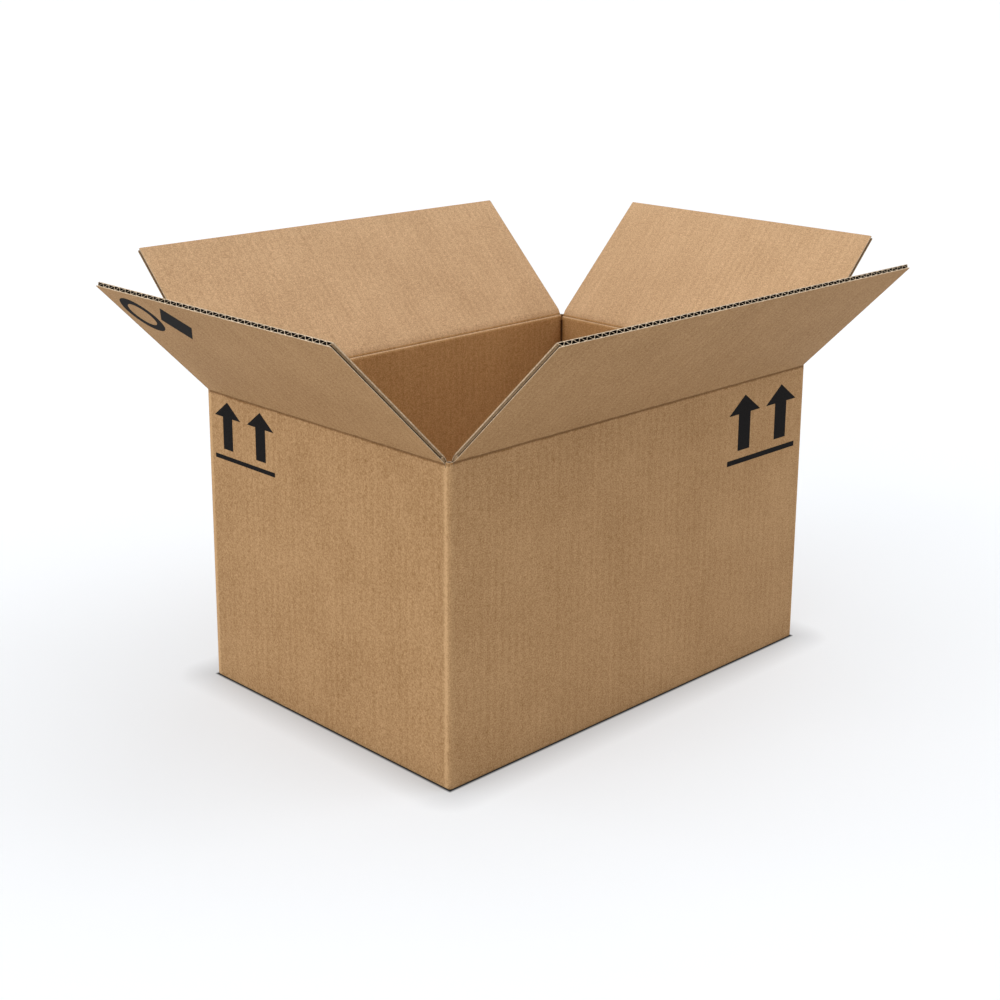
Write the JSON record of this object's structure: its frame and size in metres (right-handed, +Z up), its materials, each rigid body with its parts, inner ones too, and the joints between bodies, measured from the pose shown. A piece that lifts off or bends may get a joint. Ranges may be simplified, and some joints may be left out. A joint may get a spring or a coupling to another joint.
{
  "type": "open cardboard box",
  "caption": "Open shipping carton of single-wall corrugated board, with hinged top flaps leaning outwards and a glued bottom.",
  "frame": {"origin": "on the floor under the middle of the bottom", "axes": "+X along the long walls, +Y from the front long wall to the back one, +Z up through the open mouth"},
  "size_m": [0.6642, 0.523, 0.3782],
  "materials": {
    "case_board": "matte kraft liner with faint upright flute lines",
    "flap_board": "matte kraft liner, open flutes at the cut edges"
  },
  "bodies": {
    "case": {"case_body": "case_board"},
    "front_lid": {"front_flap": "flap_board"},
    "back_lid": {"back_flap": "flap_board"},
    "right_lid": {"right_flap": "flap_board"},
    "left_lid": {"left_flap": "flap_board"}
  },
  "joints": [
    {"name": "front_crease", "type": "hinge", "parent": "case", "child": "front_lid", "pos_m": [0, -0.1529, 0.2696], "axis": [-1, 0, 0], "range_deg": [-95, 135]},
    {"name": "back_crease", "type": "hinge", "parent": "case", "child": "back_lid", "pos_m": [0, 0.1529, 0.2696], "axis": [1, 0, 0], "range_deg": [-95, 135]},
    {"name": "right_crease", "type": "hinge", "parent": "case", "child": "right_lid", "pos_m": [0.225, 0, 0.2672], "axis": [0, -1, 0], "range_deg": [-95, 135]},
    {"name": "left_crease", "type": "hinge", "parent": "case", "child": "left_lid", "pos_m": [-0.225, 0, 0.2672], "axis": [0, 1, 0], "range_deg": [-95, 135]}
  ]
}
